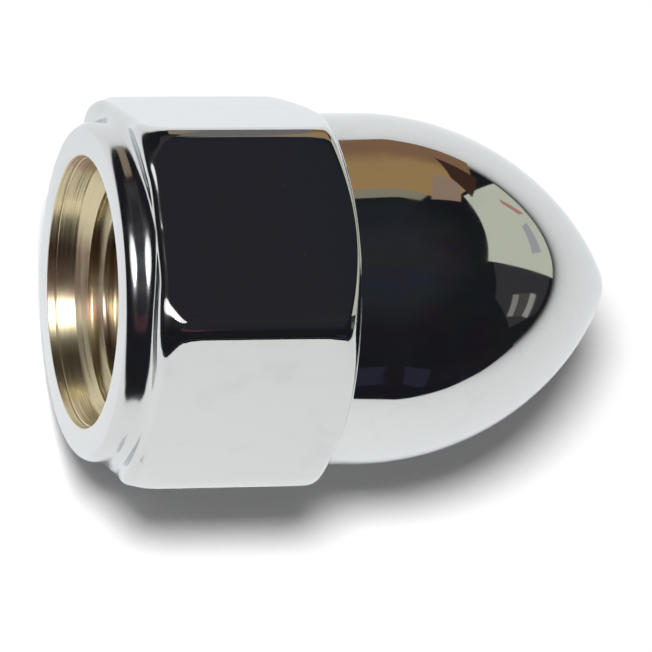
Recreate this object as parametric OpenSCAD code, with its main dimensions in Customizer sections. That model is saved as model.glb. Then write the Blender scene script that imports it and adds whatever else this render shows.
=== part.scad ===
// Bullet-nosed cap nut, turned from hexagon bar.
// It lies on one of its six flats: the thread axis runs along X, the dome
// points to +X and the origin is the centre of the bearing face round the mouth.

/* [Hexagon] */
// Width across the flats
across_flats = 19.05; // [17:0.05:24]
// Radius of the six polished corner edges
corner_radius = 1.1; // [0.3:0.1:2]
// Length of the hexagon along the axis
hexagon_length = 11; // [8:0.05:13]
// Radius turned on the hexagon's corners at the collar
front_corner_radius = 1.4; // [0.5:0.1:1.8]
// Radius turned on the hexagon's corners at the dome
back_corner_radius = 1.3; // [0.5:0.1:1.8]
// Slope of the hexagon's end at the dome, in degrees from square
dome_end_slope = 25; // [5:1:35]

/* [Collar] */
// Length of the round collar in front of the hexagon
collar_length = 1.4; // [1.3:0.05:2.5]
// Depth the collar is turned below the flats
collar_step = 0.6; // [0.2:0.05:1]
// Length of the crown that the collar's front edge is buffed to
crown_length = 0.6; // [0.3:0.05:0.7]
// Radius of that crown
crown_radius = 0.72; // [0.7:0.02:1.5]
// Radius of the hollow corner between the collar and the hexagon
collar_corner_radius = 0.45; // [0.1:0.05:0.6]

/* [Dome] */
// Overall length, from the bearing face to the tip
overall_length = 28.6; // [26:0.1:36]
// Depth the foot of the dome is turned below the flats
dome_step = 0.2; // [0.1:0.05:0.8]
// Length of the straight foot of the dome
dome_foot = 2.4; // [0.8:0.1:3]
// Radius of the hollow corner between the hexagon and the dome
dome_corner_radius = 0.15; // [0.1:0.05:0.6]
// Radius of the blunt tip
tip_radius = 2.5; // [1:0.1:4]

/* [Mouth] */
// Diameter of the mouth at the bearing face
mouth_diameter = 14.3; // [13.9:0.05:15.5]
// Depth of the smooth tapered mouth
mouth_depth = 1.4; // [0.5:0.1:1.6]
// Slope of the mouth's wall, in degrees from the axis
mouth_taper = 16; // [5:1:25]
// Included angle of the countersink between the mouth and the thread
countersink_angle = 100; // [60:1:120]

/* [Thread] */
// Minor diameter of the thread, as tapped for 1/2 inch, 20 turns to the inch
minor_diameter = 11.5; // [8:0.05:12.3]
// Included angle of the drill's point
drill_point_angle = 118; // [90:1:140]
// Metal left between the drill's point and the tip of the dome
tip_wall = 3.5; // [3:0.1:10]

/* [Finish] */
// Colour of the chromium plate
plate_colour = "#C6CACB"; // ["#C6CACB", "#B8A36A", "#5C6166"]

/* [Hidden] */
$fn = 96;

// Half sizes and the hexagon's corner circles
flat_radius = across_flats / 2;
point_radius = flat_radius / cos(30);
corner_centre_radius = point_radius - corner_radius / cos(30);

// Turned radii and stations along the axis
collar_radius = flat_radius - collar_step;
dome_radius = flat_radius - dome_step;
hexagon_end = collar_length + hexagon_length;
ogive_start = hexagon_end + dome_foot;

// The ogive arc is tangent to the dome's foot and to the tip sphere
tip_centre = overall_length - tip_radius;
tip_rise = tip_centre - ogive_start;
ogive_radius = (tip_rise ^ 2 + dome_radius ^ 2 - tip_radius ^ 2) / (2 * (dome_radius - tip_radius));
ogive_offset = ogive_radius - dome_radius;
ogive_end = ogive_start + tip_rise * ogive_radius / (ogive_radius - tip_radius);

// The tapped hole
minor_radius = minor_diameter / 2;
mouth_radius = mouth_diameter / 2;
countersink_radius = mouth_radius - mouth_depth * tan(mouth_taper);
countersink_depth = mouth_depth + (countersink_radius - minor_radius) / tan(countersink_angle / 2);
drill_point = minor_radius / tan(drill_point_angle / 2);
drill_depth = overall_length - tip_wall - drill_point;
cut_past = 1;

// A point at a distance and an angle from the axis
function polar(distance, angle) = distance * [cos(angle), sin(angle)];

// Outline across the flats: straight sides with round corners, one flat facing +X.
// Between two sides the polygon turns in to the corner circle's centre.
module hexagon_outline() {
    side_half = corner_centre_radius / 2;
    polygon([
        for (turn = [0 : 60 : 300])
            each [
                polar(flat_radius, turn) - polar(side_half, turn + 90),
                polar(flat_radius, turn) + polar(side_half, turn + 90),
                polar(corner_centre_radius, turn + 30)
            ]
    ]);
    for (turn = [30 : 60 : 330])
        translate(polar(corner_centre_radius, turn))
            circle(corner_radius);
}

// Fills the hollow corner where a sloping face rises from a turned radius
module corner_fill(foot_radius, slope, fill_radius) {
    centre_x = foot_radius + fill_radius;
    centre_y = fill_radius * (tan(slope) - 1 / cos(slope));
    difference() {
        polygon([
            [foot_radius - fill_radius, centre_y],
            [centre_x, centre_y],
            [centre_x - fill_radius * sin(slope), centre_y + fill_radius * cos(slope)],
            [foot_radius - fill_radius, centre_y + fill_radius * cos(slope)]
        ]);
        translate([centre_x, centre_y])
            circle(fill_radius);
    }
}

// Half section of the collar, with its front edge crowned
module collar_section() {
    crown_centre = collar_radius - crown_radius;
    square([crown_centre, collar_length]);
    translate([0, crown_length])
        square([collar_radius, collar_length]);
    intersection() {
        translate([crown_centre, crown_length])
            circle(crown_radius);
        square([collar_radius, crown_length]);
    }
}

// Half section that turns both ends of the hexagon and rounds its corners there
module hexagon_section() {
    back_edge = hexagon_end - (point_radius - dome_radius) * tan(dome_end_slope);
    back_offset = back_corner_radius * tan(45 - dome_end_slope / 2);
    polygon([
        [0, collar_length],
        [point_radius - front_corner_radius, collar_length],
        [point_radius, collar_length + front_corner_radius],
        [point_radius, back_edge - back_offset],
        [point_radius, back_edge] + polar(back_offset, 180 - dome_end_slope),
        [dome_radius, hexagon_end],
        [0, hexagon_end]
    ]);
    translate([point_radius - front_corner_radius, collar_length + front_corner_radius])
        circle(front_corner_radius);
    translate([point_radius - back_corner_radius, back_edge - back_offset])
        circle(back_corner_radius);
    translate([0, collar_length])
        corner_fill(collar_radius, 0, collar_corner_radius);
    translate([0, hexagon_end])
        mirror([0, 1])
            corner_fill(dome_radius, dome_end_slope, dome_corner_radius);
}

// Half section of the dome: straight foot, ogive and round tip
module dome_section() {
    translate([0, hexagon_end - dome_foot])
        square([dome_radius, 2 * dome_foot]);
    intersection() {
        translate([-ogive_offset, ogive_start])
            circle(ogive_radius);
        translate([0, ogive_start])
            square([dome_radius, ogive_end - ogive_start]);
    }
    intersection() {
        translate([0, tip_centre])
            circle(tip_radius);
        translate([0, ogive_end])
            square([dome_radius, dome_radius]);
    }
}

// Half section of the tapped hole: tapered mouth, countersink, minor diameter and drill point
module hole_section() {
    polygon([
        [0, -cut_past],
        [mouth_radius + cut_past * tan(mouth_taper), -cut_past],
        [countersink_radius, mouth_depth],
        [minor_radius, countersink_depth],
        [minor_radius, drill_depth],
        [0, drill_depth + drill_point]
    ]);
}

// The nut, from hexagon bar: turned outside, drilled and tapped from the mouth
module cap_nut() {
    color(plate_colour)
        rotate([0, 90, 0])
            difference() {
                intersection() {
                    linear_extrude(overall_length)
                        hexagon_outline();
                    rotate_extrude() {
                        collar_section();
                        hexagon_section();
                        dome_section();
                    }
                }
                rotate_extrude()
                    hole_section();
            }
}

cap_nut();
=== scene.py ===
from math import acos, asin, atan2, cos, exp, pi, radians, sin, tan

import bmesh
import bpy
from mathutils import Matrix, Vector


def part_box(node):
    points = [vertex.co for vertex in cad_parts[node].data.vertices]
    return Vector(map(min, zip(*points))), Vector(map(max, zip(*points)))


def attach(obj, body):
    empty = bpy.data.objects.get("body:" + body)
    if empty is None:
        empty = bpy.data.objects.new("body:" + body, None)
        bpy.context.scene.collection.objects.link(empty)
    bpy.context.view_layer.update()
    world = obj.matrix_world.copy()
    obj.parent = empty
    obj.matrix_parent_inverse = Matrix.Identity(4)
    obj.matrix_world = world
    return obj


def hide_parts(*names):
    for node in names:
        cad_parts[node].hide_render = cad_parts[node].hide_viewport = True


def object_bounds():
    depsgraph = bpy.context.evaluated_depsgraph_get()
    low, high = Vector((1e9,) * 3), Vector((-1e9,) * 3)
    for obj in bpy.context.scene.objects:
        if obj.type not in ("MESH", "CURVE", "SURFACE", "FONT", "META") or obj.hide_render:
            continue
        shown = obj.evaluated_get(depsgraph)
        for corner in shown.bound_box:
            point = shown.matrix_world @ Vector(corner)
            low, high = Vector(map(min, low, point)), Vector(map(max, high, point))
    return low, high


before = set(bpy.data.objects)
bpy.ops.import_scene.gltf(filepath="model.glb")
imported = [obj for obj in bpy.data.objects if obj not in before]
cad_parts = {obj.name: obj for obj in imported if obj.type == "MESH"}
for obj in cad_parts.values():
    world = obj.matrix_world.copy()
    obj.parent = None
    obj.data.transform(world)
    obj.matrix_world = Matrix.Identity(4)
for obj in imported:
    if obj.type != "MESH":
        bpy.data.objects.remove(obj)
cad_low, cad_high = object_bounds()

# ---------------------------------------------------------------- cap nut, outside
# The nut is turned from hexagon bar: a short round collar at the mouth, both ends of
# the hexagon turned to a slope, and a long bullet nose with a blunt tip. Every edge is
# buffed round before plating. The thread axis runs along X, with the mouth at X = 0.

MM = 0.001
weld_gap = 0.0005 * MM
on_axis = 0.01 * MM
nut_low, nut_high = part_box("cap_nut")
flat_radius = nut_high.z
overall_length = nut_high.x
corner_radius = 1.1 * MM
point_radius = flat_radius / cos(pi / 6)

collar_step = 0.6 * MM
collar_radius = flat_radius - collar_step
crown_radius = 0.72 * MM
crown_end = 0.6 * MM
crown_turn = asin(crown_end / crown_radius)
front_corner_radius = 0.08 * MM

dome_step = 0.2 * MM
dome_radius = flat_radius - dome_step
hexagon_end = 12.4 * MM
dome_slope = radians(25)
dome_hollow_radius = 0.15 * MM
nose_start = 14.8 * MM
tip_radius = 2.5 * MM

mouth_radius = 7.15 * MM
mouth_corner_radius = 0.12 * MM
mouth_depth = 1.4 * MM
countersink_radius = 6.75 * MM
countersink_corner_radius = 0.1 * MM
hole_corner_turn = radians(45)
minor_radius = 5.75 * MM
countersink_half_angle = radians(50)
countersink_rise = countersink_radius - minor_radius
countersink_depth = mouth_depth + countersink_rise / tan(countersink_half_angle)
drill_depth = 21.645 * MM
drill_half_angle = radians(59)
drill_point = minor_radius / tan(drill_half_angle)
tool_line = 0.42 * MM
tool_line_width = 0.12 * MM
tool_line_depth = 0.05 * MM

# Buffed radii are given at the middle of a flat and at a corner of the hexagon. The wear
# is given for the corners' ends, at the collar and at the dome.
hollow_start = 0.96 * MM
hollow_buffed = (0.8 * MM, 0.35 * MM)
front_buffed = (0.65 * MM, 0.5 * MM)
back_buffed = (0.15 * MM, 1.2 * MM)
front_lean = 0.17
lean_start = 0.3 * MM
corner_worn = (2.5 * MM, 0.65 * MM)
worn_fade = 0.7 * MM
worn_end = 12 * MM

corner_steps = 8
crown_steps = 10
nose_steps = 44
tip_steps = 12
hollow_steps = 8
buffed_steps = 10
worn_steps = 5
segments = 480
corner_crowding = 0.6


def arc(centre_x, centre_radius, radius, start, end, steps):
    """Points of an arc in the half section, by the angle from the +X axis."""
    return [
        (
            centre_x + radius * cos(start + (end - start) * step / steps),
            centre_radius + radius * sin(start + (end - start) * step / steps),
        )
        for step in range(steps + 1)
    ]


def bevel_offset(radius, turn):
    """How far a round corner of that radius starts from the sharp one."""
    return radius * tan(turn / 2)


def as_object(shape, name):
    """Puts a bmesh into the scene, as an object of that name."""
    mesh = bpy.data.meshes.new(name)
    shape.to_mesh(mesh)
    shape.free()
    thing = bpy.data.objects.new(name, mesh)
    bpy.context.collection.objects.link(thing)
    return thing


tip_centre = overall_length - tip_radius
tip_rise = tip_centre - nose_start
nose_radius = (tip_rise**2 + dome_radius**2 - tip_radius**2) / (2 * (dome_radius - tip_radius))
nose_offset = nose_radius - dome_radius
nose_angle = asin(tip_rise / (nose_radius - tip_radius))

blank_allowance = 0.2 * MM
blank_radius = point_radius + blank_allowance
front_of_hexagon = 1.5 * MM
back_of_hexagon = hexagon_end - (blank_radius - dome_radius) * tan(dome_slope)
ring_gap = 0.02 * MM
front_steps = hollow_steps + buffed_steps
front_rings = [
    front_of_hexagon + step * ring_gap for step in range(front_steps + worn_steps + 1)
]
back_rings = [back_of_hexagon - step * ring_gap for step in range(buffed_steps, -1, -1)]
hexagon_middle = 6.5 * MM
hexagon_half = 4.1 * MM
hexagon_steps = 12
hexagon_rings = [
    hexagon_middle - hexagon_half * cos(pi * step / hexagon_steps)
    for step in range(hexagon_steps + 1)
]


def on_mouth_wall(x, deeper=0.0):
    """Point of the tapered mouth at a depth, or cut deeper there."""
    return x, mouth_radius + (countersink_radius - mouth_radius) * x / mouth_depth + deeper


bore_section = [
    (drill_depth + drill_point, 0),
    (drill_depth, minor_radius),
    (countersink_depth, minor_radius),
    (mouth_depth, countersink_radius),
    on_mouth_wall(tool_line + tool_line_width / 2),
    on_mouth_wall(tool_line, tool_line_depth),
    on_mouth_wall(tool_line - tool_line_width / 2),
    (0, mouth_radius),
]
crown_centre_radius = collar_radius - crown_radius
collar_section = [
    *arc(crown_end, crown_centre_radius, crown_radius, pi / 2 + crown_turn, pi / 2, crown_steps),
    (hollow_start, collar_radius),
]
hexagon_section = [(x, blank_radius) for x in (*front_rings, *hexagon_rings, *back_rings)]
foot_section = [(hexagon_end, dome_radius)]
nose_section = arc(nose_start, -nose_offset, nose_radius, pi / 2, pi / 2 - nose_angle, nose_steps)
tip_section = arc(tip_centre, 0, tip_radius, pi / 2 - nose_angle, 0, tip_steps)[1:]
section = [
    *bore_section,
    *collar_section,
    *hexagon_section,
    *foot_section,
    *nose_section,
    *tip_section,
]

nut = bmesh.new()
corners = [nut.verts.new((x, 0, radius)) for x, radius in section]
for pair in zip(corners, corners[1:]):
    nut.edges.new(pair)

countersink_corner = corners[bore_section.index((mouth_depth, countersink_radius))]
mouth_corner = corners[len(bore_section) - 1]
front_corner = corners[len(bore_section)]
dome_hollow = corners[len(bore_section) + len(collar_section) + len(hexagon_section)]
for corner, radius, turn in (
    (mouth_corner, mouth_corner_radius, hole_corner_turn),
    (countersink_corner, countersink_corner_radius, hole_corner_turn),
    (front_corner, front_corner_radius, pi / 2 - crown_turn),
    (dome_hollow, dome_hollow_radius, pi / 2 - dome_slope),
):
    bmesh.ops.bevel(
        nut,
        geom=[corner],
        offset=bevel_offset(radius, turn),
        segments=corner_steps,
        profile=0.5,
        affect="VERTICES",
        material=-1,
    )

bmesh.ops.spin(
    nut,
    geom=nut.verts[:] + nut.edges[:],
    cent=(0, 0, 0),
    axis=(1, 0, 0),
    angle=pi / 3,
    steps=segments // 6,
    use_merge=False,
)
sixth = nut.verts[:] + nut.edges[:] + nut.faces[:]
for side in range(1, 6):
    copied = bmesh.ops.duplicate(nut, geom=sixth)["geom"]
    bmesh.ops.rotate(
        nut,
        verts=[part for part in copied if isinstance(part, bmesh.types.BMVert)],
        cent=(0, 0, 0),
        matrix=Matrix.Rotation(side * pi / 3, 3, "X"),
    )
bmesh.ops.remove_doubles(nut, verts=nut.verts, dist=weld_gap)
bmesh.ops.recalc_face_normals(nut, faces=nut.faces)


def hexagon_radius(angle, x):
    """Distance from the axis to the hexagon's outline, at an angle from a flat's middle."""
    worn_front = corner_worn[0] * exp(-((max(x - front_of_hexagon, 0) / worn_fade) ** 2))
    worn_back = corner_worn[1] * exp(-max(worn_end - x, 0) / worn_fade)
    round_radius = corner_radius + worn_front + worn_back
    centre_radius = point_radius - round_radius / cos(pi / 6)
    turn = abs((angle + pi / 6) % (pi / 3) - pi / 6)
    straight = flat_radius / cos(turn)
    if straight * sin(turn) <= centre_radius / 2:
        return straight
    to_corner = pi / 6 - turn
    across = centre_radius * sin(to_corner)
    return centre_radius * cos(to_corner) + (round_radius**2 - across**2) ** 0.5


def from_axis(vert):
    return Vector((0, vert.co.y, vert.co.z))


def how_far_out(radius):
    """0 at the middle of a flat, 1 at a corner of the hexagon."""
    return (radius - flat_radius) / (point_radius - flat_radius)


def buffed(radii, out):
    """A buffed radius, from the one at the middle of a flat to the one at a corner."""
    return radii[0] + (radii[1] - radii[0]) * out


def back_end(radius, step):
    """Place on the round edge between the slope at the dome and the hexagon, from the slope on."""
    round_radius = buffed(back_buffed, how_far_out(radius))
    edge_x = hexagon_end - (radius - dome_radius) * tan(dome_slope)
    centre_x = edge_x - bevel_offset(round_radius, pi / 2 - dome_slope)
    turn = dome_slope + (pi / 2 - dome_slope) * step / buffed_steps
    x = centre_x + round_radius * cos(turn)
    return x, radius - round_radius + round_radius * sin(turn)


def front_end(angle, step):
    """Place on the hollow at the collar, then on the round edge of the hexagon's front."""
    radius = hexagon_radius(angle, front_of_hexagon)
    rise = radius - collar_radius
    out = how_far_out(radius)
    hollow_radius = buffed(hollow_buffed, out**0.5)
    edge_radius = buffed(front_buffed, out)
    turn = acos(max(1 - rise / (hollow_radius + edge_radius), 0))
    if step < hollow_steps:
        part = turn * (step + 1) / hollow_steps
        x = hollow_start + hollow_radius * sin(part)
        height = hollow_radius * (1 - cos(part))
        return x - front_lean * max(height - lean_start, 0), collar_radius + height
    part = turn * max(1 - (step - hollow_steps) / buffed_steps, 0)
    x = hollow_start + hollow_radius * sin(turn) + edge_radius * (sin(turn) - sin(part))
    drop = edge_radius * (1 - cos(part))
    x -= front_lean * max(rise - drop - lean_start, 0)
    x += (hexagon_rings[0] - x) * max(step - front_steps, 0) / (worn_steps + 1)
    return x, hexagon_radius(angle, x) - drop


for vert in nut.verts:
    radius = from_axis(vert).length
    if radius < on_axis:
        continue
    angle = atan2(vert.co.y, vert.co.z)
    angle += corner_crowding / 6 * sin(6 * angle)
    x = vert.co.x
    if radius > blank_radius - blank_allowance / 2:
        radius = hexagon_radius(angle, x)
        if x < hexagon_rings[0] - ring_gap / 2:
            x, radius = front_end(angle, round((x - front_of_hexagon) / ring_gap))
        elif x > hexagon_rings[-1] + ring_gap / 2:
            x, radius = back_end(radius, round((back_of_hexagon - x) / ring_gap))
    vert.co = (x, radius * sin(angle), radius * cos(angle))

plated_nut = as_object(nut, "plated_cap_nut")

# ---------------------------------------------------------------- cap nut, thread
# The hole is tapped 1/2 inch, 20 turns to the inch, before the nut is plated. The tap
# is drawn as a solid of its own and cut out of the nut. Its last turns run out.

pitch = 25.4 / 20 * MM
thread_depth = pitch * 5 / 16 * tan(pi / 3)
thread_rounding = 0.05 * MM
rounding_steps = 3
tap_clearance = 0.01 * MM
tap_foot = minor_radius + tap_clearance
tap_steps = 96
tap_turns = 16
tap_start = -1.65 * MM
tap_end = tap_start + tap_turns * pitch
tap_cut_off = tap_start + 1.05 * pitch
run_out_turns = 2
run_out_depth = 0.1 * MM

tap = bmesh.new()
tap_profile = [(0, 0), (1 / 8, 0), (7 / 16, 1), (9 / 16, 1), (7 / 8, 0), (1, 0)]
tap_corners = [
    tap.verts.new((tap_start + share * pitch, 0, tap_foot + depth * thread_depth))
    for share, depth in tap_profile
]
for pair in zip(tap_corners, tap_corners[1:]):
    tap.edges.new(pair)
bmesh.ops.bevel(
    tap,
    geom=tap_corners[1:-1],
    offset=thread_rounding,
    segments=rounding_steps,
    profile=0.5,
    affect="VERTICES",
    material=-1,
)
bmesh.ops.spin(
    tap,
    geom=tap.verts[:] + tap.edges[:],
    cent=(0, 0, 0),
    axis=(1, 0, 0),
    dvec=(pitch / tap_steps, 0, 0),
    angle=2 * pi,
    steps=tap_steps,
    use_merge=False,
)
one_turn = tap.verts[:] + tap.edges[:] + tap.faces[:]
for turn in range(1, tap_turns):
    copied = bmesh.ops.duplicate(tap, geom=one_turn)["geom"]
    bmesh.ops.translate(
        tap,
        verts=[part for part in copied if isinstance(part, bmesh.types.BMVert)],
        vec=(turn * pitch, 0, 0),
    )
bmesh.ops.remove_doubles(tap, verts=tap.verts, dist=2 * weld_gap)
for vert in tap.verts:
    fade = (vert.co.x - tap_end) / (run_out_turns * pitch) + 1
    fade = min(max(fade, 0), 1)
    radius = from_axis(vert).length
    kept = minor_radius - run_out_depth * fade + (radius - minor_radius) * (1 - fade)
    vert.co.y *= kept / radius
    vert.co.z *= kept / radius
for station, side in ((tap_cut_off, -1), (tap_end, 1)):
    bmesh.ops.bisect_plane(
        tap,
        geom=tap.verts[:] + tap.edges[:] + tap.faces[:],
        plane_co=(station, 0, 0),
        plane_no=(side, 0, 0),
        clear_outer=True,
    )
rims = [edge for edge in tap.edges if edge.is_boundary]
bmesh.ops.holes_fill(tap, edges=rims, sides=0)
bmesh.ops.recalc_face_normals(tap, faces=tap.faces)
tap_tool = as_object(tap, "tap")

tapping = plated_nut.modifiers.new("tapping", "BOOLEAN")
tapping.operation = "DIFFERENCE"
tapping.solver = "MANIFOLD"
tapping.object = tap_tool
shaped = bpy.data.meshes.new_from_object(
    plated_nut.evaluated_get(bpy.context.evaluated_depsgraph_get())
)
plated_nut.modifiers.clear()
uncut = plated_nut.data
plated_nut.data = shaped
bpy.data.objects.remove(tap_tool)
bpy.data.meshes.remove(uncut)
shaped.name = "plated_cap_nut"
sharp_angle = radians(32)
shaped.shade_smooth()
shaped.set_sharp_from_angle(angle=sharp_angle)
weighting = plated_nut.modifiers.new("weighting", "WEIGHTED_NORMAL")
weighting.keep_sharp = True
weighting.weight = 100

# ---------------------------------------------------------------- cap nut, plating
# The plate is mirror bright outside, with the faint waves, smears and dust of a handled
# part. In the hole it is thin and dull over the brass, with the marks of the tools.


def add_node(tree, kind, **settings):
    node = tree.nodes.new(kind)
    for setting, value in settings.items():
        setattr(node, setting, value)
    return node


def feed(tree, socket, value):
    """Sets a node's input, or links it where an output is given."""
    if isinstance(value, bpy.types.NodeSocket):
        tree.links.new(value, socket)
    else:
        socket.default_value = value


def plug(tree, node, **inputs):
    """Feeds a node's inputs by their names, with an underscore for a space."""
    for name, value in inputs.items():
        feed(tree, node.inputs[name.replace("_", " ")], value)
    return node


def math_node(tree, operation, first, second):
    node = add_node(tree, "ShaderNodeMath", operation=operation)
    for socket, value in zip(node.inputs, (first, second)):
        feed(tree, socket, value)
    return node.outputs[0]


def ramp_between(tree, value, low, high, to_low=0.0, to_high=1.0):
    node = add_node(tree, "ShaderNodeMapRange", interpolation_type="SMOOTHSTEP")
    plug(tree, node, Value=value, From_Min=low, From_Max=high, To_Min=to_low, To_Max=to_high)
    return node.outputs["Result"]


def mix_colours(tree, share, first, second, blend="MIX"):
    """Mixes by the colour sockets, which have the names of others and go by number."""
    node = add_node(tree, "ShaderNodeMix", data_type="RGBA", blend_type=blend)
    for number, value in ((0, share), (6, first), (7, second)):
        feed(tree, node.inputs[number], value)
    return node.outputs[2]


def split(tree, vector):
    """The X, Y and Z of a vector."""
    node = add_node(tree, "ShaderNodeSeparateXYZ")
    feed(tree, node.inputs[0], vector)
    return node.outputs


def noise(tree, place, scale, detail, distortion=0.0):
    node = add_node(tree, "ShaderNodeTexNoise")
    plug(tree, node, Vector=place, Scale=scale, Detail=detail, Distortion=distortion)
    return node


smear_from, smear_to = 0.5, 0.72
speck_rim, speck_heart = 0.2, 0.08
sparse_from, sparse_to = 0.62, 0.68

marks = bpy.data.node_groups.new("handling_marks", "ShaderNodeTree")
for name, kind in (
    ("Place", "NodeSocketVector"),
    ("Smear Scale", "NodeSocketFloat"),
    ("Speck Scale", "NodeSocketFloat"),
):
    marks.interface.new_socket(name, in_out="INPUT", socket_type=kind)
for name in ("Smears", "Specks"):
    marks.interface.new_socket(name, in_out="OUTPUT", socket_type="NodeSocketFloat")
given = add_node(marks, "NodeGroupInput").outputs
smears = noise(marks, given["Place"], given["Smear Scale"], detail=4.0, distortion=0.8)
smear_share = ramp_between(marks, smears.outputs["Fac"], smear_from, smear_to)
cells = add_node(marks, "ShaderNodeTexVoronoi")
plug(marks, cells, Vector=given["Place"], Scale=given["Speck Scale"])
dots = ramp_between(marks, cells.outputs["Distance"], speck_rim, speck_heart)
where = noise(marks, given["Place"], given["Speck Scale"], detail=1.0)
sparse = ramp_between(marks, where.outputs["Fac"], sparse_from, sparse_to)
taken = add_node(marks, "NodeGroupOutput").inputs
marks.links.new(smear_share, taken["Smears"])
marks.links.new(math_node(marks, "MULTIPLY", dots, sparse), taken["Specks"])

bright_colour = (0.645, 0.655, 0.65, 1)
edge_tint = (0.9, 0.92, 0.945, 1)
smeared_colour = (0.622, 0.632, 0.628, 1)
smear_scale = 420.0
speck_scale = 3400.0
bright_roughness = 0.04
smear_roughness = 0.035
speck_roughness = 0.14
front_buffed_from = 2.1 * MM
front_dull_to = 1.5 * MM
front_roughness = 0.09
front_colour = (0.6, 0.61, 0.61, 1)
wave_scale = 380
wave_height = 0.006 * MM

chromium = bpy.data.materials.new("chromium_plate")
chromium.use_nodes = True
tree = chromium.node_tree
surface = tree.nodes["Principled BSDF"]
surface.inputs["Metallic"].default_value = 1.0
surface.inputs["Specular Tint"].default_value = edge_tint
place = add_node(tree, "ShaderNodeTexCoord").outputs["Object"]
handled = add_node(tree, "ShaderNodeGroup", node_tree=marks)
plug(tree, handled, Place=place, Smear_Scale=smear_scale, Speck_Scale=speck_scale)
smears, specks = handled.outputs["Smears"], handled.outputs["Specks"]
smeared = math_node(tree, "MULTIPLY", smears, smear_roughness)
specked = math_node(tree, "MULTIPLY", specks, speck_roughness)
roughness = math_node(tree, "ADD", math_node(tree, "ADD", smeared, specked), bright_roughness)
front = ramp_between(tree, split(tree, place)["X"], front_buffed_from, front_dull_to)
roughness = math_node(tree, "ADD", roughness, math_node(tree, "MULTIPLY", front, front_roughness))
colour = mix_colours(tree, smears, bright_colour, smeared_colour)
colour = mix_colours(tree, front, colour, front_colour)
waves = noise(tree, place, wave_scale, detail=1.0)
bump = add_node(tree, "ShaderNodeBump")
plug(tree, bump, Strength=1.0, Distance=wave_height, Height=waves.outputs["Fac"])
plug(tree, surface, Base_Color=colour, Roughness=roughness, Normal=bump.outputs["Normal"])

brass_colour = (0.61, 0.54, 0.36, 1)
stained_colour = (0.46, 0.335, 0.25, 1)
stain_scale = 160
stain_clear = 0.44
stain_full = 0.6
grime_scale = 330.0
grit_scale = 3000.0
grime_roughness = 0.1
dull_roughness = 0.36
turned_stretch = 0.85
groove_scale = 4000
groove_stretch = (1.0, 0.02, 0.02)
groove_height = 0.08 * MM
hole_edge = 7.2 * MM

thin = bpy.data.materials.new("thin_plate")
thin.use_nodes = True
tree = thin.node_tree
surface = tree.nodes["Principled BSDF"]
surface.inputs["Metallic"].default_value = 1.0
place = add_node(tree, "ShaderNodeTexCoord").outputs["Object"]
handled = add_node(tree, "ShaderNodeGroup", node_tree=marks)
plug(tree, handled, Place=place, Smear_Scale=grime_scale, Speck_Scale=grit_scale)
stretched = add_node(tree, "ShaderNodeMapping")
plug(tree, stretched, Vector=place, Scale=groove_stretch)
grooves = noise(tree, stretched.outputs["Vector"], groove_scale, detail=2.0)
stains = noise(tree, place, stain_scale, detail=3.0, distortion=0.5).outputs["Fac"]
stained = ramp_between(tree, stains, stain_clear, stain_full)
colour = mix_colours(tree, stained, brass_colour, stained_colour)
worn = math_node(tree, "MULTIPLY", handled.outputs["Smears"], grime_roughness)
roughness = math_node(tree, "ADD", worn, dull_roughness)
bump = add_node(tree, "ShaderNodeBump")
plug(tree, bump, Strength=1.0, Distance=groove_height, Height=grooves.outputs["Fac"])
plug(tree, surface, Base_Color=colour, Roughness=roughness, Normal=bump.outputs["Normal"])
surface.inputs["Anisotropic"].default_value = turned_stretch
across_grooves = add_node(tree, "ShaderNodeCombineXYZ")
plug(tree, across_grooves, X=1.0)
tree.links.new(across_grooves.outputs[0], surface.inputs["Tangent"])

shaped.materials.clear()
shaped.materials.append(chromium)
shaped.materials.append(thin)
for face in shaped.polygons:
    outward = Vector((0, face.center.y, face.center.z))
    if outward.length < hole_edge and face.normal.dot(outward) < 0:
        face.material_index = 1

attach(plated_nut, "root")
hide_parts("cap_nut")

# ---------------------------------------------------------------- floor
# A sheet of matt white paper, on which the nut lies. It runs far past the nut on all
# sides, so that it is the background too.

paper_reach = 4.0
paper_colour = (0.88, 0.88, 0.88, 1)
paper_lift = 0.06

sheet = bmesh.new()
bmesh.ops.create_grid(sheet, x_segments=1, y_segments=1, size=paper_reach)
bmesh.ops.translate(sheet, verts=sheet.verts, vec=(0, 0, cad_low.z))
floor = as_object(sheet, "floor")

paper = bpy.data.materials.new("white_paper")
paper.use_nodes = True
tree = paper.node_tree
tree.nodes.clear()
matt = add_node(tree, "ShaderNodeBsdfDiffuse")
plug(tree, matt, Color=paper_colour)
rays = add_node(tree, "ShaderNodeLightPath").outputs
mirrored = math_node(tree, "MAXIMUM", rays["Is Glossy Ray"], rays["Is Transmission Ray"])
seen = math_node(tree, "MAXIMUM", rays["Is Camera Ray"], mirrored)
lift = add_node(tree, "ShaderNodeEmission")
plug(tree, lift, Strength=math_node(tree, "MULTIPLY", seen, paper_lift))
both = add_node(tree, "ShaderNodeAddShader")
tree.links.new(matt.outputs[0], both.inputs[0])
tree.links.new(lift.outputs[0], both.inputs[1])
out = add_node(tree, "ShaderNodeOutputMaterial")
tree.links.new(both.outputs[0], out.inputs["Surface"])
floor.data.materials.append(paper)

# ---------------------------------------------------------------- cards
# What stands round the nut and shows in the plate: a pale card with marks on it, a
# row of boxes with slips and labels, and black flags at the paper's edge.

nut_middle = (nut_low + nut_high) / 2
foot_waves = 60.0
foot_solid = 0.6
foot_gone = 1.6
flag_colour = (0.012, 0.012, 0.018)
flag_top = 6 * MM


def seen_from_nut(azimuth, elevation, distance):
    """A place in the room, by its direction in degrees and its level distance from the nut."""
    turn = radians(azimuth)
    height = distance * tan(radians(elevation))
    return nut_middle + Vector((distance * cos(turn), distance * sin(turn), height))


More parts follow.
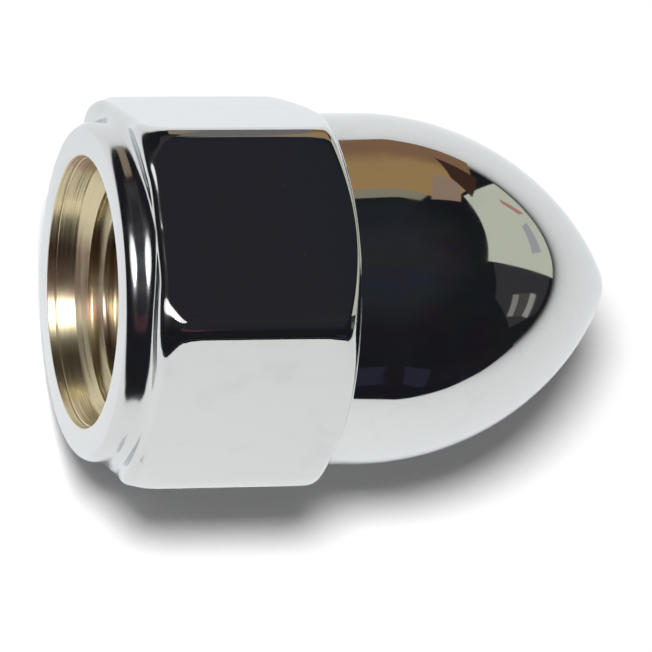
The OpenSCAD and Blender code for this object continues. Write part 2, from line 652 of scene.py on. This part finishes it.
def card(name, colour, corners, foot_colour=None, foot_height=0.0):
    """A flat card that only the plate sees. Its foot may have a colour of its own."""
    board = bmesh.new()
    bmesh.ops.contextual_create(board, geom=[board.verts.new(corner) for corner in corners])
    thing = as_object(board, name)
    glow = bpy.data.materials.new(name)
    glow.use_nodes = True
    tree = glow.node_tree
    tree.nodes.clear()
    emit = add_node(tree, "ShaderNodeEmission")
    plug(tree, emit, Color=(*colour, 1))
    if foot_colour:
        place = add_node(tree, "ShaderNodeTexCoord").outputs["Object"]
        uneven = noise(tree, place, foot_waves, detail=2.0).outputs["Fac"]
        swing = math_node(tree, "SUBTRACT", uneven, 0.5)
        raised = math_node(tree, "MULTIPLY", swing, foot_height)
        level = math_node(tree, "ADD", split(tree, place)["Z"], raised)
        share = ramp_between(tree, level, foot_gone * foot_height, foot_solid * foot_height)
        plug(tree, emit, Color=mix_colours(tree, share, (*colour, 1), (*foot_colour, 1)))
    out = add_node(tree, "ShaderNodeOutputMaterial")
    tree.links.new(emit.outputs[0], out.inputs["Surface"])
    thing.data.materials.append(glow)
    thing.visible_camera = False
    thing.visible_diffuse = False
    thing.visible_shadow = False


def far_card(name, colour, distance, directions):
    """A card at a level distance, from its corners' azimuths and elevations in degrees."""
    card(name, colour, [seen_from_nut(*direction, distance) for direction in directions])


def near_card(name, colour, depth, corners, foot_colour=None, foot_height=0.0):
    """A card that stands upright beside the nut, from millimetres along the axis and up."""
    places = [Vector((along * MM, depth * MM, up * MM)) for along, up in corners]
    card(name, colour, places, foot_colour, foot_height)


card(
    "pale_card",
    (0.65, 0.668, 0.556),
    [
        seen_from_nut(3.5, 0.8, 0.5),
        seen_from_nut(44, 0.5, 0.8),
        seen_from_nut(44, 24.5, 0.8),
        seen_from_nut(3.5, 36.3, 0.5),
    ],
)
far_card("red_mark", (0.55, 0.25, 0.24), 0.4, [(38, 9.5), (36, 11), (30.5, 7), (31, 3.5)])
far_card("gray_mark", (0.43, 0.44, 0.46), 0.4, [(27, 6.5), (25, 11), (12, 12.5), (14, 6.5)])

far_card(
    "gray_box",
    (0.045, 0.044, 0.05),
    0.45,
    [(3.5, 3), (3.5, 34), (-18, 28), (-26, 11), (-14, 3)],
)
far_card(
    "gray_label",
    (0.085, 0.08, 0.078),
    0.42,
    [(-10.7, 19), (-6.3, 9), (-17, 6), (-22, 15)],
)
far_card(
    "long_slip",
    (0.27, 0.27, 0.25),
    0.4,
    [(-12, 20.7), (-10.7, 17.8), (-21.4, 14.2), (-23, 16.9)],
)
far_card(
    "low_slip",
    (0.36, 0.36, 0.33),
    0.4,
    [(-7.5, 12), (-7, 8.6), (-18.3, 6.4), (-19, 9.8)],
)
far_card(
    "red_cloth",
    (0.075, 0.036, 0.044),
    0.4,
    [(-72, 42), (-66, 50), (-112, 58), (-116, 46)],
)
far_card(
    "blue_board",
    (0.026, 0.026, 0.045),
    0.4,
    [(-61, 12), (-70, 18), (-71, 6), (-64, 0)],
)

near_card(
    "dim_box",
    (0.045, 0.044, 0.046),
    63,
    [(-10, 42), (20.5, 45), (20.5, 130), (-10, 130)],
)
near_card(
    "brown_box",
    (0.33, 0.26, 0.18),
    62,
    [(12, 1), (20.5, 1), (20.5, 40), (12, 34)],
)
near_card(
    "gray_wall",
    (0.2, 0.196, 0.2),
    62,
    [(20.5, 1), (30, 1), (30, 64), (20.5, 60)],
)
near_card(
    "warm_box",
    (0.42, 0.267, 0.117),
    68,
    [(30, 1), (68, 1), (82, 32), (84, 56), (74, 70), (30, 63)],
    foot_colour=(0.27, 0.155, 0.09),
    foot_height=20 * MM,
)
near_card(
    "gray_top",
    (0.3, 0.27, 0.2),
    69,
    [(30, 60), (66, 64), (64, 83), (30, 80)],
)
near_card(
    "beige_box",
    (0.36, 0.25, 0.18),
    67,
    [(57, 36), (72, 31), (90, 62), (69, 74)],
)
near_card(
    "dark_batten",
    (0.06, 0.03, 0.022),
    66,
    [(53, 12), (77, 16), (90, 46), (66, 31)],
)

for name, ends in (
    ("near_flag", ((-80, -140), (100, -128))),
    ("far_flag", ((100, -128), (600, -330))),
):
    feet = [Vector((x * MM, y * MM, cad_low.z)) for x, y in ends]
    tops = [Vector((x * MM, y * MM, flag_top)) for x, y in reversed(ends)]
    card(name, flag_colour, feet + tops)

# ---------------------------------------------------------------- lamps
# A lamp behind an oval white diffuser, overhead and a little towards the mouth. The
# diffuser is bright in the middle and dim round it.

lamp_distance = 0.5
core_light = 1.08
rim_light = 0.16


def lamp(name, lean, turned, half_across, half_along, light):
    """A lamp by the angles that it leans to the mouth and to the front, and its half sizes."""
    direction = Vector((-tan(radians(lean)), -tan(radians(turned)), 1)).normalized()
    source = bpy.data.lights.new(name, "AREA")
    source.shape = "ELLIPSE"
    source.size = 2 * lamp_distance * tan(radians(half_across))
    source.size_y = 2 * lamp_distance * tan(radians(half_along))
    source.energy = light * (pi * lamp_distance) ** 2
    thing = bpy.data.objects.new(name, source)
    thing.location = nut_middle + direction * lamp_distance
    thing.rotation_euler = direction.to_track_quat("Z", "Y").to_euler()
    bpy.context.collection.objects.link(thing)


lamp("diffuser_middle", 16, 1.5, 8, 10, core_light)
lamp("diffuser_rim", 19.3, -2.5, 15, 26, rim_light)

# ---------------------------------------------------------------- room
# A dim room with faint patches, which only the plate sees. Other surfaces get a little
# even light from all round, and the camera sees white past the paper.

fill_light = 0.02
room_light = 2.0
room_low = (0.014, 0.014, 0.018, 1)
room_high = (0.027, 0.0265, 0.033, 1)
patch_scale = 3.2
patch_evenness = 0.55
even_gray = (0.5, 0.5, 0.5, 1)
low_to, high_from = 0.6, 0.92

world = bpy.data.worlds.new("room")
bpy.context.scene.world = world
world.use_nodes = True
tree = world.node_tree
tree.nodes.clear()
direction = add_node(tree, "ShaderNodeTexCoord").outputs["Generated"]
upward = ramp_between(tree, split(tree, direction)["Z"], low_to, high_from)
walls = mix_colours(tree, upward, room_low, room_high)
patches = noise(tree, direction, patch_scale, detail=2.0).outputs["Color"]
patches = mix_colours(tree, patch_evenness, patches, even_gray)
tinted = mix_colours(tree, 1.0, walls, patches, blend="MULTIPLY")
dim = add_node(tree, "ShaderNodeBackground")
plug(tree, dim, Color=tinted, Strength=room_light)
fill = add_node(tree, "ShaderNodeBackground")
plug(tree, fill, Color=(1, 1, 1, 1), Strength=fill_light)
white = add_node(tree, "ShaderNodeBackground")
plug(tree, white, Color=(1, 1, 1, 1), Strength=1.0)
rays = add_node(tree, "ShaderNodeLightPath").outputs
for_plate = add_node(tree, "ShaderNodeMixShader")
tree.links.new(rays["Is Glossy Ray"], for_plate.inputs[0])
tree.links.new(fill.outputs[0], for_plate.inputs[1])
tree.links.new(dim.outputs[0], for_plate.inputs[2])
for_camera = add_node(tree, "ShaderNodeMixShader")
tree.links.new(rays["Is Camera Ray"], for_camera.inputs[0])
tree.links.new(for_plate.outputs[0], for_camera.inputs[1])
tree.links.new(white.outputs[0], for_camera.inputs[2])
out = add_node(tree, "ShaderNodeOutputWorld")
tree.links.new(for_camera.outputs[0], out.inputs["Surface"])

# ---------------------------------------------------------------- camera
# A long lens looks steeply down on the nut from the mouth's side, so that it sees a
# little way into the hole. It is placed from the point that it looks at.

aim = Vector((13.099, -2.058, 0)) * MM
azimuth, elevation, roll = radians(-43.3755), radians(64.9332), radians(39.793)
distance = 395.62 * MM

lens = bpy.data.cameras.new("camera")
lens.lens = 414.468
lens.sensor_width = 36
lens.clip_start, lens.clip_end = 0.01, 20
camera = bpy.data.objects.new("camera", lens)
back = Vector((sin(azimuth) * cos(elevation), -cos(azimuth) * cos(elevation), sin(elevation)))
upright = back.to_track_quat("Z", "Y").to_matrix().to_4x4()
rolled = upright @ Matrix.Rotation(roll, 4, "Z")
camera.matrix_world = Matrix.Translation(aim + back * distance) @ rolled
bpy.context.collection.objects.link(camera)
bpy.context.scene.camera = camera
bpy.context.scene.view_settings.view_transform = "Standard"
